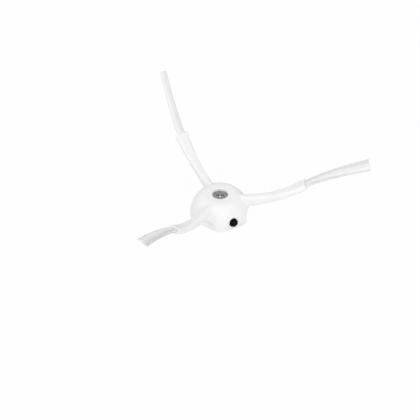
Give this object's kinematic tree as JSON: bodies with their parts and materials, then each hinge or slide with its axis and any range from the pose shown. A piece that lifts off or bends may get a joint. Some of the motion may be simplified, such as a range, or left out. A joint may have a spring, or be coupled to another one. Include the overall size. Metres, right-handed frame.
{
  "type": "robot vacuum side brush",
  "caption": "Domed soft hub with slim upswept arms, each ending in a flat fanned bristle tuft, on a hard drive core held by a sunk cross-recess screw; sweeps dust inwards.",
  "frame": {"origin": "where the drive axis meets the plane of the hub's base rim", "axes": "+Z along the drive axis towards the screw head; +X along the first arm"},
  "size_m": [0.1197, 0.141, 0.0452],
  "materials": {
    "soft_white": "soft matte white",
    "core_black": "matte black",
    "screw_steel": "dull plated steel",
    "bristle": "pale grey filament"
  },
  "bodies": {
    "root": {"brush_body": "soft_white", "drive_core": "core_black", "fixing_screw": "screw_steel", "bristle_tuft_1": "bristle", "bristle_tuft_2": "bristle", "bristle_tuft_3": "bristle"}
  },
  "joints": []
}
